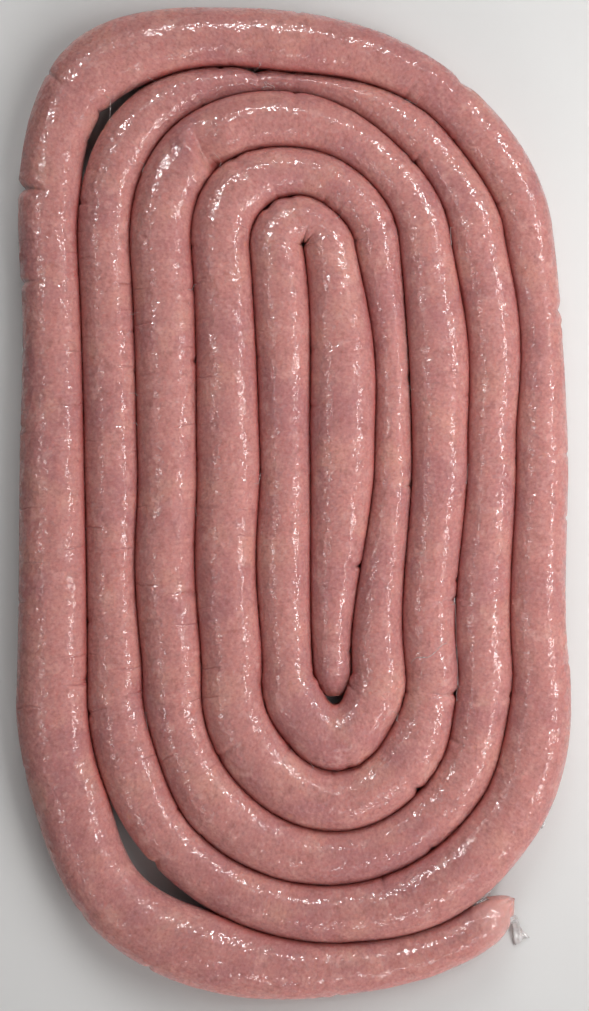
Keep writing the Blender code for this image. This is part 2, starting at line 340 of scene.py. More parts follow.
# A fold is sharp along its middle, and the casing bulges a little beside it.
FOLD_SHARPNESS = 1.25  # at 2 it is a round groove
FOLD_FADE = 1.3
FOLD_LIP = 0.16  # share of the fold's depth
LIP_AT = 2.4  # half lengths from the fold's middle
sink = np.zeros((rings, sides))
turned = np.degrees(turn_angles)
for station, side, depth, before, after, fades, lean in (*folds, *slight_folds):
    at = np.interp(station, fine, fine_length)
    gap = alongs[:, None] - at - lean * sideways
    scaled = np.abs(gap) / np.where(gap < 0, before, after)
    away = np.abs((turned - side + 180) % 360 - 180)
    round_share = np.cos(np.clip(away / fades, 0, 1) * math.pi / 2) ** FOLD_FADE
    lip = FOLD_LIP * np.exp(-((scaled - LIP_AT) ** 2))
    sink += depth * round_share * (np.exp(-(scaled**FOLD_SHARPNESS)) - lip)

# The coarse mince makes the skin lumpy, most of all on top.
LUMPS = ((14.0, 0.6), (6.0, 0.18))  # how far from lump to lump, and how high from the hollow
LUMPS_UNDERNEATH = 0.2  # share of the height on top
top_share = LUMPS_UNDERNEATH + (1 - LUMPS_UNDERNEATH) * np.clip(sine, 0, 1)
smooth_corners = skin_corners(sink).reshape(-1, 3)
for size, high in LUMPS:
    raised = np.array([noise.noise(Vector(point) / size) for point in smooth_corners.tolist()])
    sink -= high * raised.reshape(rings, sides) * top_share

# The casing is drawn into pleats round the blunt end and, less, round the tip.
PLEATS, LESSER_PLEATS = 9, 15
PLEAT_TURN = 0.8
PLEAT_GROWS = 1.5
END_PLEAT_FROM, END_PLEAT_OVER, END_PLEAT_DEEP = 6.0, 12.0, 0.55
TIP_PLEAT_FROM, TIP_PLEAT_OVER, TIP_PLEAT_DEEP = 4.0, 9.0, 0.3
pleat_wave = np.cos(PLEATS * turn_angles + PLEAT_TURN) + 0.5 * np.cos(LESSER_PLEATS * turn_angles)
past_rope_end = alongs - rope_length
end_pleat = np.clip((past_rope_end - END_PLEAT_FROM) / END_PLEAT_OVER, 0, 1) ** PLEAT_GROWS
tip_pleat = np.clip((-alongs - TIP_PLEAT_FROM) / TIP_PLEAT_OVER, 0, 1) ** PLEAT_GROWS
sink += np.outer(END_PLEAT_DEEP * end_pleat + TIP_PLEAT_DEEP * tip_pleat, pleat_wave)

MM = 0.001  # in metres
ring_corners = skin_corners(sink)
tip_point = (*(middles[0] - to_back * TIP_POINT), tip_axis)
end_point = (*(end_middle[-1] + end_forward * END_POINT), end_axis[-1])
corners = np.vstack((ring_corners.reshape(-1, 3), tip_point, end_point))
tip_corner, end_corner = len(corners) - 2, len(corners) - 1
ring_index, side_index = np.meshgrid(np.arange(rings - 1), np.arange(sides), indexing="ij")
ring_index, side_index = ring_index.ravel(), side_index.ravel()
next_side = (side_index + 1) % sides
quads = np.stack(
    (
        (ring_index + 1) * sides + side_index,
        (ring_index + 1) * sides + next_side,
        ring_index * sides + next_side,
        ring_index * sides + side_index,
    ),
    axis=-1,
)
cap_side = np.arange(sides)
cap_next = (cap_side + 1) % sides
last_ring = (rings - 1) * sides
tip_caps = np.stack((cap_side, np.full(sides, tip_corner), cap_next), axis=-1)
end_caps = np.stack((last_ring + cap_side, np.full(sides, end_corner), last_ring + cap_next), axis=-1)
skin_faces = quads.tolist() + tip_caps.tolist() + end_caps.tolist()

skin_mesh = bpy.data.meshes.new("sausage_skin")
skin_mesh.from_pydata((corners * MM).tolist(), [], skin_faces)
skin_mesh.update()

# Every corner knows its place on the strand: how far along it, how far round, how high up.
# A side with nothing beside it counts as higher, so the painted seam shade stays off it.
FREE_SIDE_LIFT = 0.62  # share of the way to the top
FREE_BY = 3.0  # width of a gap, past which the side is free
END_SIDE_FREE_BY = 1 / 3  # share of the blunt end
free_outside = 1 - outside_press / NEIGHBOUR_PRESS
free_outside[: TIP_RINGS + np.searchsorted(ring_u, RIGHT_RUN_END)] = 0
free_outside += with_both_ends(np.clip(stand_off(ring_u + STATIONS) / FREE_BY, 0, 1))
free_inside = with_both_ends(np.clip(stand_off(ring_u) / FREE_BY, 0, 1))
free_inside[-END_RINGS:] = np.clip(end_steps / END_SIDE_FREE_BY, 0, 1)
free = np.where(cosine > 0, free_outside[:, None], free_inside[:, None])
strand = skin_mesh.attributes.new("strand", "FLOAT_VECTOR", "POINT")
round_place = np.where(turn_angles <= 1.5 * math.pi, turn_angles, turn_angles - 2 * math.pi)
on_rings = slice(rings * sides)
strand_values = np.zeros((len(corners), 3), np.float32)
strand_values[on_rings, 0] = np.repeat(alongs, sides) * MM
strand_values[on_rings, 1] = ((round_place - math.pi / 2) * halves[:, None] * MM).ravel()
strand_values[on_rings, 2] = (sine + FREE_SIDE_LIFT * free * (1 - sine)).ravel()
strand_values[tip_corner, 0] = -TIP_LENGTH * MM
strand_values[end_corner, 0] = (rope_length + END_LENGTH) * MM
strand.data.foreach_set("vector", strand_values.ravel())
outward = skin_mesh.attributes.new("outward", "FLOAT", "POINT")
outward_values = np.zeros(len(corners), np.float32)
outward_values[on_rings] = np.tile(cosine, rings)
outward.data.foreach_set("value", outward_values)

# The skin slit along its foot and laid out flat in rows on a square sheet, for painting.
SKIN_ROWS = 7
ROW_TALL = 96.0
SKIN_TALL = 92.0
ROW_MARGIN = 3.0
CAP_NUDGE = 0.7  # how far a cap's point lies from its ring
sheet_side = SKIN_ROWS * ROW_TALL
row_long = sheet_side - 3 * ROW_MARGIN
slit = SIDES_OVER + SIDES_UNDER // 2
edges_round = np.linalg.norm(np.roll(ring_corners, -1, axis=1) - ring_corners, axis=2)
edges_round = np.roll(edges_round, -slit, axis=1)
height_on_sheet = np.hstack((np.zeros((rings, 1)), np.cumsum(edges_round, axis=1)))
height_on_sheet *= SKIN_TALL / height_on_sheet[:, -1:]


def on_sheet(face_ring, ring, column):
    """Where a corner lies on the flat sheet, for a face that starts at this ring."""
    row = np.floor((alongs[face_ring] + TIP_LENGTH) / row_long)
    x = ROW_MARGIN + alongs[ring] + TIP_LENGTH - row * row_long
    y = row * ROW_TALL + (ROW_TALL - SKIN_TALL) / 2 + height_on_sheet[ring, column]
    return np.stack((x, y), axis=-1) / sheet_side


quad_column = (side_index - slit) % sides
quad_places = np.stack(
    [
        on_sheet(ring_index, ring_index + ahead, quad_column + beyond)
        for ahead, beyond in ((1, 0), (1, 1), (0, 1), (0, 0))
    ],
    axis=1,
)
cap_column = (cap_side - slit) % sides
cap_places = []
for ring, nudge in ((0, -CAP_NUDGE), (rings - 1, CAP_NUDGE)):
    at_ring = np.full(sides, ring)
    start = on_sheet(at_ring, at_ring, cap_column)
    stop = on_sheet(at_ring, at_ring, cap_column + 1)
    point = (start + stop) / 2 + np.array((nudge, 0.0)) / sheet_side
    cap_places.append(np.stack((start, point, stop), axis=1))
sheet_layer = skin_mesh.uv_layers.new(name="OFBake")
sheet_places = np.vstack([places.reshape(-1, 2) for places in (quad_places, *cap_places)])
sheet_layer.data.foreach_set("uv", sheet_places.ravel())
skin_mesh.shade_smooth()

sausage_skin = bpy.data.objects.new("sausage_skin", skin_mesh)
bpy.context.scene.collection.objects.link(sausage_skin)

raw_pork = bpy.data.materials.new("raw_pork_in_wet_casing")
raw_pork.use_nodes = True
pork_nodes, pork_links = raw_pork.node_tree.nodes, raw_pork.node_tree.links
pork_shader = pork_nodes["Principled BSDF"]


def pork_node(kind, settings=(), **inputs):
    """A node of the pork's material. Its inputs, given by name or as i0, i1 and so on, are
    plain values or other nodes' outputs."""
    made = pork_nodes.new(kind)
    for name, value in dict(settings).items():
        setattr(made, name, value)
    for name, value in inputs.items():
        socket = made.inputs[int(name[1:]) if name[1:].isdigit() else name]
        if isinstance(value, bpy.types.NodeSocket):
            pork_links.new(value, socket)
        else:
            socket.default_value = value
    return made


def sums(operation, a, b=0.0):
    """A sum that is worked out all over the skin, such as ADD, from numbers or outputs."""
    return pork_node("ShaderNodeMath", {"operation": operation}, i0=a, i1=b).outputs[0]


def vector_sums(operation, a, b):
    """The same with places or colours."""
    return pork_node("ShaderNodeVectorMath", {"operation": operation}, i0=a, i1=b).outputs[0]


def between(value, low, high, to_low=0.0, to_high=1.0):
    """Takes a value between two limits, smoothly, to between two others."""
    limits = {"i1": low, "i2": high, "i3": to_low, "i4": to_high}
    made = pork_node("ShaderNodeMapRange", {"interpolation_type": "SMOOTHSTEP"}, i0=value, **limits)
    return made.outputs["Result"]


def tinted(under, over, share):
    """One colour laid over another."""
    return pork_node("ShaderNodeMix", {"data_type": "RGBA"}, i0=share, i6=under, i7=over).outputs[2]


in_place = pork_node("ShaderNodeTexCoord").outputs["Object"]
on_strand = pork_node("ShaderNodeAttribute", {"attribute_name": "strand"}).outputs["Vector"]
strand_parts = pork_node("ShaderNodeSeparateXYZ", i0=on_strand).outputs
high_up = strand_parts[2]
to_outer_side = pork_node("ShaderNodeAttribute", {"attribute_name": "outward"}).outputs["Fac"]


def mince(size, detail=2.0, roughness=0.5, where=in_place, shift=0.0):
    """Soft noise with grains of this many millimetres, from 0 to 1. Each shift has its own."""
    moved = vector_sums("ADD", where, (shift, shift * 0.7, -shift))
    scaled = {"Scale": 1000.0 / size, "Detail": detail, "Roughness": roughness}
    return pork_node("ShaderNodeTexNoise", Vector=moved, **scaled).outputs["Fac"]


def drawn_out(along, across):
    """Places on the strand for a pattern drawn out this many times along it and across it."""
    return vector_sums("MULTIPLY", on_strand, (1.0 / along, 1.0 / across, 0.0))


MEAT_PINK = (0.48, 0.206, 0.188, 1)
MEAT_MAUVE = (0.412, 0.17, 0.166, 1)
MEAT_PEACH = (0.54, 0.258, 0.214, 1)
LEAN_RED = (0.26, 0.095, 0.088, 1)
PALE_FAT = (0.69, 0.39, 0.345, 1)
FAT_ORANGE = (0.66, 0.3, 0.17, 1)
# The next colour is painted shade, for the grooves of the creases.
CREASE_SHADE_RED = (0.24, 0.07, 0.068, 1)
# The next colour is painted shade, for the seams between the turns.
SEAM_SHADE_RED = (0.36, 0.078, 0.068, 1)
SPECK_BROWN = (0.12, 0.045, 0.04, 1)
END_PEACH = (0.66, 0.37, 0.33, 1)

# Patches of lean and fat tint the mince. Each kind: colour, millimetres across, the noise's
# detail, roughness and shift, where in it they begin and are full, and how strong they are.
mince_tints = (
    (MEAT_MAUVE, 34.0, 2.0, 0.5, 0.0, 0.45, 0.68, 1.0),
    (MEAT_PEACH, 24.0, 2.0, 0.5, 3.1, 0.5, 0.72, 0.7),
    (LEAN_RED, 5.5, 3.0, 0.6, 1.3, 0.5, 0.74, 0.42),
    (PALE_FAT, 8.0, 3.0, 0.55, 6.3, 0.54, 0.74, 0.36),
)
colour = MEAT_PINK
for tint, size, detail, roughness, shift, begins, full, strength in mince_tints:
    patches = mince(size, detail, roughness, shift=shift)
    colour = tinted(colour, tint, between(patches, begins, full, 0.0, strength))

# The finest grain is red lean where its noise is high and pale fat where it is low.
GRAIN_SIZE = 1.6
GRAIN_FAT, GRAIN_MIDDLE, GRAIN_LEAN = 0.3, 0.5, 0.72
grain = mince(GRAIN_SIZE, 3.0, 0.6, drawn_out(1.0, 1.3), 2.0)
colour = tinted(colour, LEAN_RED, between(grain, GRAIN_MIDDLE, GRAIN_LEAN, 0.0, 0.42))
colour = tinted(colour, PALE_FAT, between(grain, GRAIN_MIDDLE, GRAIN_FAT, 0.0, 0.22))

# Fat shows through the casing as pale flecks of uneven size and outline.
WOBBLE_SCALE = 350.0
WOBBLE_REACH = 3.0
FAINT_FLECKS = 0.04  # share that shows only faintly
wobble = pork_node("ShaderNodeTexNoise", Vector=in_place, Scale=WOBBLE_SCALE, Detail=2.0)
wobble_by = vector_sums("MULTIPLY", wobble.outputs["Color"], (WOBBLE_REACH * MM,) * 3)
wobbled = vector_sums("ADD", in_place, wobble_by)


def flecks(size, share, full, reach, shift):
    """Spots about this many millimetres apart, of which this share shows. Each is full out to
    one distance from its middle and gone at another, in its own size."""
    moved = vector_sums("ADD", wobbled, (shift, -shift, shift))
    cells = pork_node("ShaderNodeTexVoronoi", Vector=moved, Scale=1000.0 / size)
    pick = pork_node("ShaderNodeSeparateColor", Color=cells.outputs["Color"]).outputs[0]
    shown = between(pick, 1 - share - FAINT_FLECKS, 1 - share + FAINT_FLECKS)
    return sums("MULTIPLY", between(cells.outputs["Distance"], full, reach, 1.0, 0.0), shown)


# Each kind: colour, size, share, full, reach and shift as above, and how strong it is.
fleck_kinds = (
    (PALE_FAT, 5.2, 0.16, 0.1, 0.5, 0.0, 0.22),
    (PALE_FAT, 2.6, 0.2, 0.1, 0.55, 0.5, 0.16),
    (FAT_ORANGE, 12.0, 0.06, 0.05, 0.2, 0.9, 0.25),
    (SPECK_BROWN, 9.0, 0.05, 0.02, 0.1, 1.7, 0.5),
)
for tint, size, share, full, reach, shift, strength in fleck_kinds:
    spots = flecks(size, share, full, reach, shift)
    colour = tinted(colour, tint, sums("MULTIPLY", spots, strength))

# Creases run across the strand from its sides, where the casing gives as the strand bends.
# Each stops on its own way over the top, where the side is at 1 and the crest at 0.
CREASE_WANDERS = 0.6  # spacings
CREASE_PLACES = (0.3, 0.7)  # shares of a spacing
CREASE_LONGEST, CREASES_VARY = -0.1, 0.9
CREASE_FADES_OVER = 0.5


def creases(to_side, spacing, shift, wide):
    """Lines across the strand, one to each spacing in millimetres, that start at this side."""
    bent = sums("SUBTRACT", mince(26.0, 4.0, 0.6, shift=shift), 0.5)
    place = sums("MULTIPLY", strand_parts[0], 1000.0 / spacing)
    place = sums("ADD", place, sums("MULTIPLY", bent, CREASE_WANDERS))
    place = sums("ADD", place, shift)
    picks = pork_node("ShaderNodeTexWhiteNoise", {"noise_dimensions": "1D"}, W=sums("FLOOR", place))
    pick = pork_node("ShaderNodeSeparateColor", Color=picks.outputs["Color"]).outputs
    line_at = between(pick[0], 0.0, 1.0, *CREASE_PLACES)
    away = sums("ABSOLUTE", sums("SUBTRACT", sums("FRACT", place), line_at))
    line = between(away, 0.0, wide / spacing, 1.0, 0.0)
    stops_at = sums("ADD", sums("MULTIPLY", pick[1], CREASES_VARY), CREASE_LONGEST)
    before_stop = sums("SUBTRACT", to_side, stops_at)
    line = sums("MULTIPLY", line, between(before_stop, 0.0, CREASE_FADES_OVER))
    how_strong = between(pick[2], 0.3, 0.9)
    return sums("MULTIPLY", line, how_strong)


to_inner_side = sums("MULTIPLY", to_outer_side, -1.0)


def creases_on_both_sides(spacing, wide, outer_shift, inner_shift):
    """Creases of one kind, set apart on the two sides by their shifts."""
    outer_creases = creases(to_outer_side, spacing, outer_shift, wide)
    inner_creases = creases(to_inner_side, spacing, inner_shift, wide)
    return sums("MAXIMUM", outer_creases, inner_creases)


# The straight left runs are the most creased, in relief and in painted shade. All the rest
# keeps a faint trace.
LEFT_RUNS_FROM, LEFT_RUNS_BY = 0.0, -40.0  # to the right of the middle
BENDS_FROM, RUNS_BY = 170.0, 120.0  # in front of the middle or behind it
CREASED_ELSEWHERE = 0.15
in_plan = pork_node("ShaderNodeSeparateXYZ", i0=in_place).outputs
on_runs = between(sums("ABSOLUTE", in_plan[1]), BENDS_FROM * MM, RUNS_BY * MM)
to_the_left = between(in_plan[0], LEFT_RUNS_FROM * MM, LEFT_RUNS_BY * MM)
on_left_runs = sums("MAXIMUM", sums("MULTIPLY", to_the_left, on_runs), CREASED_ELSEWHERE)
sharp_creases = sums("MULTIPLY", creases_on_both_sides(14.0, 0.9, 3.3, 9.1), on_left_runs)
soft_creases = sums("MULTIPLY", creases_on_both_sides(9.0, 1.6, 5.7, 1.9), on_left_runs)
SHARP_CREASE_SHADE, SOFT_CREASE_SHADE = 0.4, 0.2
# Painted shade: the creases are painted dark red along their grooves.
colour = tinted(colour, CREASE_SHADE_RED, sums("MULTIPLY", sharp_creases, SHARP_CREASE_SHADE))
colour = tinted(colour, CREASE_SHADE_RED, sums("MULTIPLY", soft_creases, SOFT_CREASE_SHADE))

# The casing is whiter where it is drawn together round the blunt end.
WHITER_FROM, WHITEST_BY = -12.0, 18.0  # past the end of the rope
WHITEST = 0.75
past_rope = sums("SUBTRACT", strand_parts[0], rope_length * MM)
at_end = between(past_rope, WHITER_FROM * MM, WHITEST_BY * MM, 0.0, WHITEST)
colour = tinted(colour, END_PEACH, at_end)

# Painted shade: dark red is painted low between the turns, where the crest of the strand is at 1.
SEAM_SHADE_FROM, SEAM_SHADE_BY = 0.64, 0.26
SEAM_SHADE_DEEPEST = 0.9
colour = tinted(colour, SEAM_SHADE_RED, between(high_up, SEAM_SHADE_FROM, SEAM_SHADE_BY, 0.0, SEAM_SHADE_DEEPEST))
pork_links.new(colour, pork_shader.inputs["Base Color"])

# The wet casing follows the mince under it, so its shine breaks up along the strand.
RELIEF_HIGH = 0.7
COARSE_SHARE, FINE_SHARE = 0.9, 0.08
SHARP_DEEP, SOFT_DEEP = 0.36, 0.2
relief = sums("MULTIPLY", mince(3.2, 1.0, shift=7.0), COARSE_SHARE)
relief = sums("ADD", relief, sums("MULTIPLY", mince(1.9, 1.0, shift=9.0), FINE_SHARE))
relief = sums("SUBTRACT", relief, sums("MULTIPLY", sharp_creases, SHARP_DEEP))
relief = sums("SUBTRACT", relief, sums("MULTIPLY", soft_creases, SOFT_DEEP))
skin_relief = pork_node("ShaderNodeBump", Height=relief, Strength=1.0, Distance=RELIEF_HIGH * MM)
pork_links.new(skin_relief.outputs[0], pork_shader.inputs["Normal"])
pork_links.new(skin_relief.outputs[0], pork_shader.inputs["Coat Normal"])

# Under the film of juice the casing is satin, in places duller.
SATIN, DULL = 0.34, 0.5
dulled = between(mince(9.0, 3.0, shift=4.0), 0.35, 0.65, SATIN, DULL)
pork_links.new(dulled, pork_shader.inputs["Roughness"])

# The film of juice comes and goes: how wet a place is follows coarse and fine noise, and the
# creased left runs are a little drier.
WET_VARIES = 0.4
CREASES_DRY = 0.04
DRY_BELOW, WET_ABOVE = 0.41, 0.5
DRIEST = 0.04
wetter = sums("MULTIPLY", sums("SUBTRACT", mince(40.0, 1.0, shift=2.2), 0.5), WET_VARIES)
wetter = sums("SUBTRACT", wetter, sums("MULTIPLY", on_left_runs, CREASES_DRY))
wet_noise = sums("ADD", mince(4.4, 2.0, 0.6, shift=8.2), wetter)
wet = between(wet_noise, DRY_BELOW, WET_ABOVE, DRIEST, 1.0)
pork_links.new(wet, pork_shader.inputs["Coat Weight"])
pork_shader.inputs["Subsurface Weight"].default_value = 0.4
pork_shader.inputs["Subsurface Radius"].default_value = (1.0, 0.3, 0.2)
pork_shader.inputs["Subsurface Scale"].default_value = 0.0035
pork_shader.inputs["Specular IOR Level"].default_value = 0.1
pork_shader.inputs["Coat Roughness"].default_value = 0.1
pork_shader.inputs["Coat IOR"].default_value = 1.4
skin_mesh.materials.append(raw_pork)

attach(sausage_skin, "root")
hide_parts("sausage_rope")

# ---------------------------------------------------------------------------------------
# The empty casing at the end. Past the last of the filling the casing is drawn together,
# hangs down the end of the strand and lies on the counter, where it opens like a small
# trumpet. It is wet, whitish and lets some light through.
# ---------------------------------------------------------------------------------------
# Forward of the last full section, outward of it, half width, lowest and highest point.
tail_course = (
    (10.4, 1.4, 1.4, 16.0, 18.8),
    (12.2, 3.6, 2.0, 13.0, 17.6),
    (13.8, 5.8, 2.3, 8.6, 14.6),
    (14.3, 7.8, 2.1, 4.6, 10.2),
    (13.9, 10.2, 2.0, 2.0, 6.6),
    (13.1, 13.0, 2.2, 0.5, 4.0),
    (12.4, 15.8, 2.9, 0.1, 2.9),
    (11.9, 18.4, 3.8, 0.1, 2.4),
    (11.8, 20.2, 4.4, 0.1, 2.0),
)
TAIL_STEPS = 6  # rings from one row to the next
TAIL_SIDES = 36
TAIL_PLEATS = 5
TAIL_PLEAT_TURN = 0.7
PLEATS_DEEP, PLEATS_FLATTEN, PLEATS_VARY = 0.16, 0.06, 0.3
MOUTH_DEEP = 5  # rings that the open mouth reaches back
LIP_HIGH, THROAT_HIGH = 0.72, 0.45  # shares of the height at the rim
NARROWER = 0.35  # how much of that the width follows
RAGGED_RINGS = 3  # the last rings, whose edge grows ragged
RAGS = ((3, 0.5, 0.0), (7, 0.35, 1.0))  # how many round the rim, how long and how turned
TAIL_LIES_AT = 0.05


def smooth_course(rows, steps):
    """A smooth curve through every row, with this many steps from one to the next."""
    rows = np.array(rows, float)
    before = np.vstack((2 * rows[0] - rows[1], rows[:-2]))
    ahead = np.vstack((rows[2:], 2 * rows[-1] - rows[-2]))
    made = []
    for i in range(len(rows) - 1):
        f = np.arange(steps)[:, None] / steps
        start, stop = rows[i], rows[i + 1]
        leave, arrive = (stop - before[i]) / 2, (ahead[i] - start) / 2
        made.append(smooth_between(start, stop, leave, arrive, f))
    made.append(rows[-1:])
    return np.vstack(made)


course = smooth_course(tail_course, TAIL_STEPS)
tail_rings = len(course)
forward, outward_of_end = course[:, 0], course[:, 1]
tail_middle = ring_middle[-1] + np.outer(forward, end_forward) + np.outer(outward_of_end, across[-1])
heading = np.gradient(tail_middle, axis=0)
heading /= np.hypot(*heading.T)[:, None]
tail_side = np.stack((-heading[:, 1], heading[:, 0]), axis=1)
tail_angles = np.linspace(0, 2 * math.pi, TAIL_SIDES, endpoint=False)
spread_share = np.linspace(0, 1, tail_rings)
pleats_deep = PLEATS_DEEP - PLEATS_FLATTEN * spread_share
pleats_vary = 1 + PLEATS_VARY * np.sin(9 * spread_share)
tail_pleat_wave = np.cos(TAIL_PLEATS * tail_angles + TAIL_PLEAT_TURN)
pleated = 1 + np.outer(pleats_deep, tail_pleat_wave) * pleats_vary[:, None]


def tail_ring(i, shrink=1.0, back=0):
    """One ring of the tail, or of its hollow mouth when it is shrunk and set back."""
    at = max(i - back, 0)
    _, _, half_wide, lowest, highest = course[i]
    wide = half_wide * np.cos(tail_angles) * pleated[i] * (1 - (1 - shrink) * NARROWER)
    ragged = sum(long * np.cos(count * tail_angles + turn) for count, long, turn in RAGS)
    rim_share = max(0.0, (i - tail_rings + 1 + RAGGED_RINGS) / RAGGED_RINGS) if not back else 0.0
    sideways_from_middle = np.outer(wide, tail_side[at])
    forward_at_rim = np.outer(ragged * rim_share, heading[at])
    half_high = (highest - lowest) / 2 * np.sin(tail_angles) * pleated[i] * shrink
    z = np.maximum((lowest + highest) / 2 + half_high, TAIL_LIES_AT)
    return np.column_stack((tail_middle[at] + sideways_from_middle + forward_at_rim, z))


last_tail_ring = tail_rings - 1
tail_rows = [tail_ring(i) for i in range(tail_rings)]
tail_rows.append(tail_ring(last_tail_ring, LIP_HIGH))
tail_rows.append(tail_ring(last_tail_ring, THROAT_HIGH, MOUTH_DEEP))


def tube_faces(rows, around):
    """The faces of a closed tube of this many rows, each with this many corners."""
    i, j = np.meshgrid(np.arange(rows - 1), np.arange(around), indexing="ij")
    k = (j + 1) % around
    row, next_row = i * around, (i + 1) * around
    walls = np.stack((row + j, row + k, next_row + k, next_row + j), axis=-1)
    first_ring = list(range(around))
    last_ring = [(rows - 1) * around + corner for corner in first_ring]
    return walls.reshape(-1, 4).tolist() + [first_ring[::-1], last_ring]


tail_mesh = bpy.data.meshes.new("casing_tail")
tail_mesh.from_pydata((np.vstack(tail_rows) * MM).tolist(), [], tube_faces(len(tail_rows), TAIL_SIDES))
tail_mesh.update()
tail_mesh.shade_smooth()
casing_tail = bpy.data.objects.new("casing_tail", tail_mesh)
bpy.context.scene.collection.objects.link(casing_tail)

# The casing is whiter and thicker in patches.
empty_casing = bpy.data.materials.new("empty_wet_casing")
empty_casing.use_nodes = True
casing_nodes, casing_links = empty_casing.node_tree.nodes, empty_casing.node_tree.links
casing_shader = casing_nodes["Principled BSDF"]
casing_place = casing_nodes.new("ShaderNodeTexCoord")
casing_fibres = casing_nodes.new("ShaderNodeTexNoise")
casing_fibres.inputs["Scale"].default_value = 260.0
casing_fibres.inputs["Detail"].default_value = 2.0
casing_links.new(casing_place.outputs["Object"], casing_fibres.inputs["Vector"])
casing_tones = casing_nodes.new("ShaderNodeValToRGB")
casing_tones.color_ramp.elements[0].position = 0.35
casing_tones.color_ramp.elements[0].color = (0.55, 0.5, 0.49, 1)
casing_tones.color_ramp.elements[1].position = 0.68
casing_tones.color_ramp.elements[1].color = (0.8, 0.76, 0.75, 1)
casing_links.new(casing_fibres.outputs["Fac"], casing_tones.inputs["Fac"])
casing_links.new(casing_tones.outputs["Color"], casing_shader.inputs["Base Color"])
casing_relief = casing_nodes.new("ShaderNodeBump")
casing_relief.inputs["Distance"].default_value = 0.0006
casing_links.new(casing_fibres.outputs["Fac"], casing_relief.inputs["Height"])
casing_links.new(casing_relief.outputs["Normal"], casing_shader.inputs["Normal"])
casing_shader.inputs["Roughness"].default_value = 0.2
casing_shader.inputs["Transmission Weight"].default_value = 0.45
casing_shader.inputs["Subsurface Weight"].default_value = 0.4
casing_shader.inputs["Subsurface Radius"].default_value = (1.0, 0.8, 0.7)
casing_shader.inputs["Subsurface Scale"].default_value = 0.0015
casing_shader.inputs["Coat Weight"].default_value = 0.8
casing_shader.inputs["Coat Roughness"].default_value = 0.08
tail_mesh.materials.append(empty_casing)

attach(casing_tail, "root")
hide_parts("sausage_rope")

# ---------------------------------------------------------------------------------------
# The threads. Fine whitish shreds of casing, as wet as the skin, cling to the rope and bridge
# the seams between its turns. A short thick bead of it sticks to the coil beside the end.
# ---------------------------------------------------------------------------------------
THREAD_SIDES = 6
THREAD_STEPS = 5  # rings from one point to the next
THREAD_ENDS = 0.35  # share of the thickness in its middle


def on_skin(station, degrees, lift=0.0, past=0.0):
    """A point of the skin, or a little above it. Degrees run from the outer side over the top."""
    along = np.interp(station, fine, fine_length) + past
    ring = np.interp(along, alongs, np.arange(rings))
    column = degrees / 180 * SIDES_OVER
    i, j = min(int(ring), rings - 2), int(column)
    f, g = ring - i, column - j
    on = (
        ring_corners[i, j] * (1 - f) * (1 - g)
        + ring_corners[i + 1, j] * f * (1 - g)
        + ring_corners[i, j + 1] * (1 - f) * g
        + ring_corners[i + 1, j + 1] * f * g
    )
    core_middle = middles[i] * (1 - f) + middles[i + 1] * f
    core = np.array((*core_middle, waist[i] * (1 - f) + waist[i + 1] * f))
    return on + (on - core) / np.linalg.norm(on - core) * lift


def thread_tube(points, radius):
    """The rows of corners of a thin round thread along these points, thinned at both ends."""
    course = smooth_course(points, THREAD_STEPS)
    heading = np.gradient(course, axis=0)
    heading /= np.linalg.norm(heading, axis=1)[:, None]
    level = np.cross(heading, (0.0, 0.0, 1.0))
    level /= np.maximum(np.linalg.norm(level, axis=1), 1e-6)[:, None]
    rise = np.cross(level, heading)
    swell = np.sin(np.linspace(0, math.pi, len(course))) ** 0.5
    thin = radius * (THREAD_ENDS + (1 - THREAD_ENDS) * swell)
    angles = np.linspace(0, 2 * math.pi, THREAD_SIDES, endpoint=False)[None, :, None]
    around = np.cos(angles) * level[:, None] + np.sin(angles) * rise[:, None]
    return course[:, None] + around * thin[:, None, None]


# Each thread: where it starts and stops, by station and degrees, and its radius.
threads = (
    ((52.21, 146), (40.26, 40), 0.17),
    ((52.86, 150), (40.84, 34), 0.15),
    ((41.31, 138), (29.36, 40), 0.14),
    ((24.02, 140), (24.10, 52), 0.16),
    ((24.28, 40), (35.78, 145), 0.14),
    ((23.86, 35), (35.64, 150), 0.15),
    ((40.23, 146), (40.19, 104), 0.17),
    ((40.19, 104), (40.12, 148), 0.17),
    ((40.21, 128), (40.15, 130), 0.13),
    ((47.103, 8), (47.118, 17), 0.8),
)

# More of them bridge the seams at chance places.
CHANCE_THREADS = 16
for _ in range(CHANCE_THREADS):
    station = chance.uniform(14.0, 56.0)
    slant = chance.uniform(-0.12, 0.12)
    start = (station, chance.uniform(128, 152))
    stop = (station - STATIONS + slant, chance.uniform(28, 52))
    threads += ((start, stop, chance.uniform(0.1, 0.16)),)

THREAD_POINTS = 7
THREAD_SWAY = 0.012  # stations
SEAM_EDGES = (158, 22)  # degrees where an outer turn and an inner one dip into their seam
LIFT_ENDS, LIFT_TOP, LIFT_EDGE = 0.02, 0.15, 0.12  # how high above the skin it passes


def thread_on_one_turn(start, stop):
    """Points of a thread that lies on one turn and sways a little."""
    (station, degrees), (stop_station, stop_degrees) = start, stop
    points = []
    for f in np.linspace(0, 1, THREAD_POINTS):
        at_station = station + (stop_station - station) * f + THREAD_SWAY * math.sin(9 * f)
        points.append(on_skin(at_station, degrees + (stop_degrees - degrees) * f, LIFT_EDGE))
    return points


def thread_over_seam(start, stop):
    """Points of a thread from one turn over the seam to the turn beside it."""
    (station, degrees), (stop_station, stop_degrees) = start, stop
    edge, stop_edge = SEAM_EDGES if degrees > 90 else SEAM_EDGES[::-1]
    return [
        on_skin(station, degrees, LIFT_ENDS),
        on_skin(station, (degrees + edge) / 2, LIFT_TOP),
        on_skin(station, edge, LIFT_EDGE),
        on_skin(stop_station, stop_edge, LIFT_EDGE),
        on_skin(stop_station, (stop_degrees + stop_edge) / 2, LIFT_TOP),
        on_skin(stop_station, stop_degrees, LIFT_ENDS),
    ]


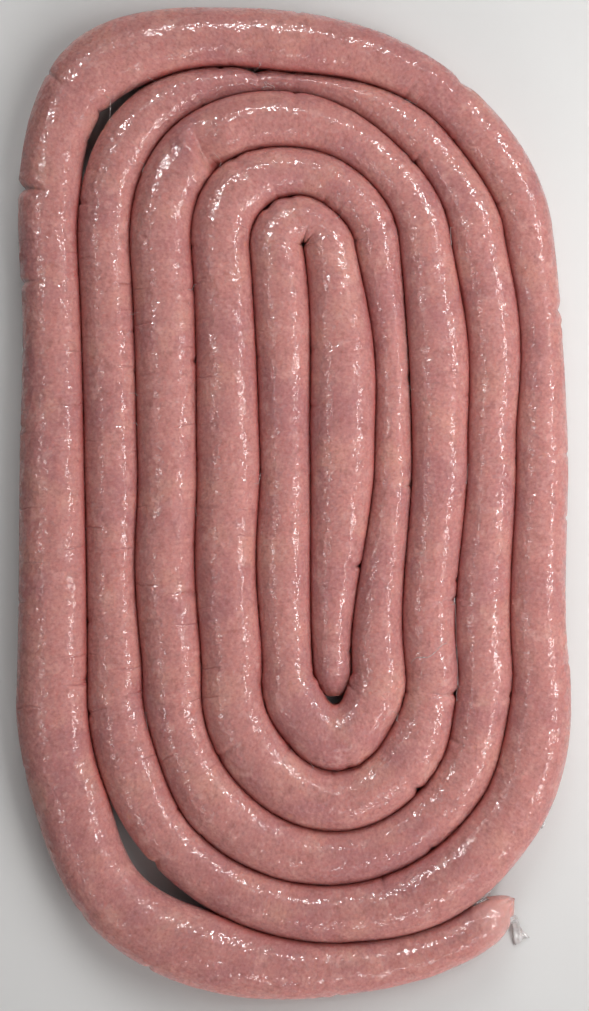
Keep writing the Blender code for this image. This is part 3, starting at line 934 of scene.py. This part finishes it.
thread_corners, thread_faces = [], []
for start, stop, radius in threads:
    same_turn = abs(start[0] - stop[0]) < 1.0
    thread_course = thread_on_one_turn(start, stop) if same_turn else thread_over_seam(start, stop)
    rows = thread_tube(thread_course, radius)
    base = sum(map(len, thread_corners))
    thread_corners.append(rows.reshape(-1, 3))
    thread_faces += [[base + corner for corner in face] for face in tube_faces(len(rows), THREAD_SIDES)]

threads_mesh = bpy.data.meshes.new("casing_threads")
threads_mesh.from_pydata((np.vstack(thread_corners) * MM).tolist(), [], thread_faces)
threads_mesh.update()
threads_mesh.shade_smooth()
casing_threads = bpy.data.objects.new("casing_threads", threads_mesh)
bpy.context.scene.collection.objects.link(casing_threads)
threads_mesh.materials.append(empty_casing)

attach(casing_threads, "root")

# ---------------------------------------------------------------------------------------
# The web. Where the end parts from the coil, a torn film of casing hangs in the notch, stuck
# to both, with a ragged free edge. It is the tail's casing, stretched thinner.
# ---------------------------------------------------------------------------------------
FILM_THICK = 0.22
WEB_ROWS, WEB_COLUMNS = 12, 10
WEB_LIFT = 0.1
COIL_STUCK_FROM, COIL_STUCK_OVER = 46.655, 0.075  # stations
COIL_DEGREES, COIL_DEGREES_DROP = 24, 8
END_STUCK_FROM, END_STUCK_OVER = -1.0, 10.0  # past the last full section
END_DEGREES = 158
TEAR_DEEP, TEAR_VARIES, TEAR_WAVE = 2.2, 0.9, 11
SAG_DEEP = 1.4
WAVE_HIGH, WAVE_ACROSS, WAVE_ALONG = 0.5, 9, 5

web = np.empty((WEB_ROWS, WEB_COLUMNS, 3))
for i, out_along in enumerate(np.linspace(0, 1, WEB_ROWS)):  # out of the notch
    coil_station = COIL_STUCK_FROM + COIL_STUCK_OVER * out_along
    on_coil = on_skin(coil_station, COIL_DEGREES - COIL_DEGREES_DROP * out_along, WEB_LIFT)
    on_end = on_skin(ROPE_END, END_DEGREES, WEB_LIFT, past=END_STUCK_FROM + END_STUCK_OVER * out_along)
    for j, share in enumerate(np.linspace(0, 1, WEB_COLUMNS)):
        free_share = 4 * share * (1 - share)
        tear = out_along * (TEAR_DEEP + TEAR_VARIES * math.sin(TEAR_WAVE * share))
        wave = WAVE_HIGH * math.sin(WAVE_ACROSS * share + WAVE_ALONG * out_along)
        point = on_coil * (1 - share) + on_end * share
        point[:2] -= end_forward * tear * free_share
        point[2] += (wave - SAG_DEEP * (1 - out_along)) * free_share
        web[i, j] = point
web_faces = []
for i in range(WEB_ROWS - 1):
    for j in range(WEB_COLUMNS - 1):
        corner, corner_ahead = i * WEB_COLUMNS + j, (i + 1) * WEB_COLUMNS + j
        web_faces.append((corner, corner + 1, corner_ahead + 1, corner_ahead))
web_mesh = bpy.data.meshes.new("casing_web")
web_mesh.from_pydata((web.reshape(-1, 3) * MM).tolist(), [], web_faces)
web_mesh.update()
web_mesh.shade_smooth()
casing_web = bpy.data.objects.new("casing_web", web_mesh)
bpy.context.scene.collection.objects.link(casing_web)
web_wall = casing_web.modifiers.new("wall", "SOLIDIFY")
web_wall.thickness = FILM_THICK * MM
web_wall.offset = 0.0
thin_film = empty_casing.copy()
thin_film.name = "thin_wet_film"
film_shader = thin_film.node_tree.nodes["Principled BSDF"]
film_shader.inputs["Transmission Weight"].default_value = 0.5
film_shader.inputs["Alpha"].default_value = 0.6
web_mesh.materials.append(thin_film)

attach(casing_web, "root")

# ---------------------------------------------------------------------------------------
# The counter, the lamps and the camera. A plain pale counter, soft lamps on the right,
# behind and in front that light the meat, and narrow ones all round that only the wet
# casing mirrors. The camera looks straight down. Lengths are in metres.
# ---------------------------------------------------------------------------------------
COUNTER_SIDE = 14.0
CAMERA_HIGH = 1.15
CAMERA_RIGHT, CAMERA_BACK = 0.00035, -0.0012
OUTLINE_HIGH = 0.013  # height of the rope's widest outline
FRAME_TALL = 0.5308  # what the frame takes in at that height
SENSOR = 36.0

counter_mesh = bpy.data.meshes.new("counter")
half_side = COUNTER_SIDE / 2
counter_corners = (
    (-half_side, -half_side, 0),
    (half_side, -half_side, 0),
    (half_side, half_side, 0),
    (-half_side, half_side, 0),
)
counter_mesh.from_pydata(counter_corners, [], [(0, 1, 2, 3)])
counter = bpy.data.objects.new("counter", counter_mesh)
bpy.context.scene.collection.objects.link(counter)
counter_white = bpy.data.materials.new("pale_counter")
counter_white.use_nodes = True
counter_shader = counter_white.node_tree.nodes["Principled BSDF"]
counter_shader.inputs["Base Color"].default_value = (0.62, 0.61, 0.60, 1)
counter_shader.inputs["Roughness"].default_value = 0.6
counter_mesh.materials.append(counter_white)

studio = bpy.data.worlds.new("studio")
studio.use_nodes = True
room_light = studio.node_tree.nodes["Background"]
room_light.inputs["Color"].default_value = (1.0, 1.0, 1.0, 1)
room_light.inputs["Strength"].default_value = 0.03
bpy.context.scene.world = studio


def lamp(name, place, size, power, mirrored):
    """A rectangular lamp turned to the coil. The skin mirrors it, or else is lit by it."""
    data = bpy.data.lights.new(name, "AREA")
    data.shape = "RECTANGLE"
    data.size, data.size_y = size
    data.energy = power
    made = bpy.data.objects.new(name, data)
    made.location = place
    made.rotation_euler = (-Vector(place)).to_track_quat("-Z", "Y").to_euler()
    made.visible_glossy = mirrored
    made.visible_diffuse = not mirrored
    bpy.context.scene.collection.objects.link(made)


# Name, place, size and power in watts. The first four light the meat, and the rest shine on
# the wet casing.
lamp("right_soft", (0.32, 0.06, 0.5), (0.4, 0.4), 2.45, mirrored=False)
lamp("back_soft", (0.0, 2.1, 1.33), (1.25, 1.25), 32.0, mirrored=False)
lamp("front_soft", (0.0, -2.4, 0.65), (1.25, 1.25), 27.5, mirrored=False)
lamp("front_right_soft", (1.55, -1.55, 1.2), (1.25, 1.25), 27.0, mirrored=False)
lamp("right_strip", (0.6, 0.0, 0.52), (1.1, 0.05), 5.1, mirrored=True)
lamp("back_strip", (0.0, 1.6, 1.92), (0.8, 0.17), 27.0, mirrored=True)
lamp("back_left_strip", (-0.75, 0.75, 1.1), (0.4, 0.1), 9.0, mirrored=True)
lamp("back_right_strip", (0.8, 0.8, 1.1), (0.4, 0.1), 9.0, mirrored=True)
lamp("front_strip", (0.25, -0.85, 0.9), (0.6, 0.06), 3.0, mirrored=True)
lamp("left_strip", (-0.36, 0.0, 0.46), (1.0, 0.02), 1.2, mirrored=True)

camera_data = bpy.data.cameras.new("camera")
camera = bpy.data.objects.new("camera", camera_data)
bpy.context.scene.collection.objects.link(camera)
camera.location = (CAMERA_RIGHT, CAMERA_BACK, CAMERA_HIGH)
camera_data.sensor_width = SENSOR
camera_data.lens = SENSOR * (CAMERA_HIGH - OUTLINE_HIGH) / FRAME_TALL
camera_data.clip_end = 50
bpy.context.scene.camera = camera
bpy.context.scene.view_settings.view_transform = "Standard"
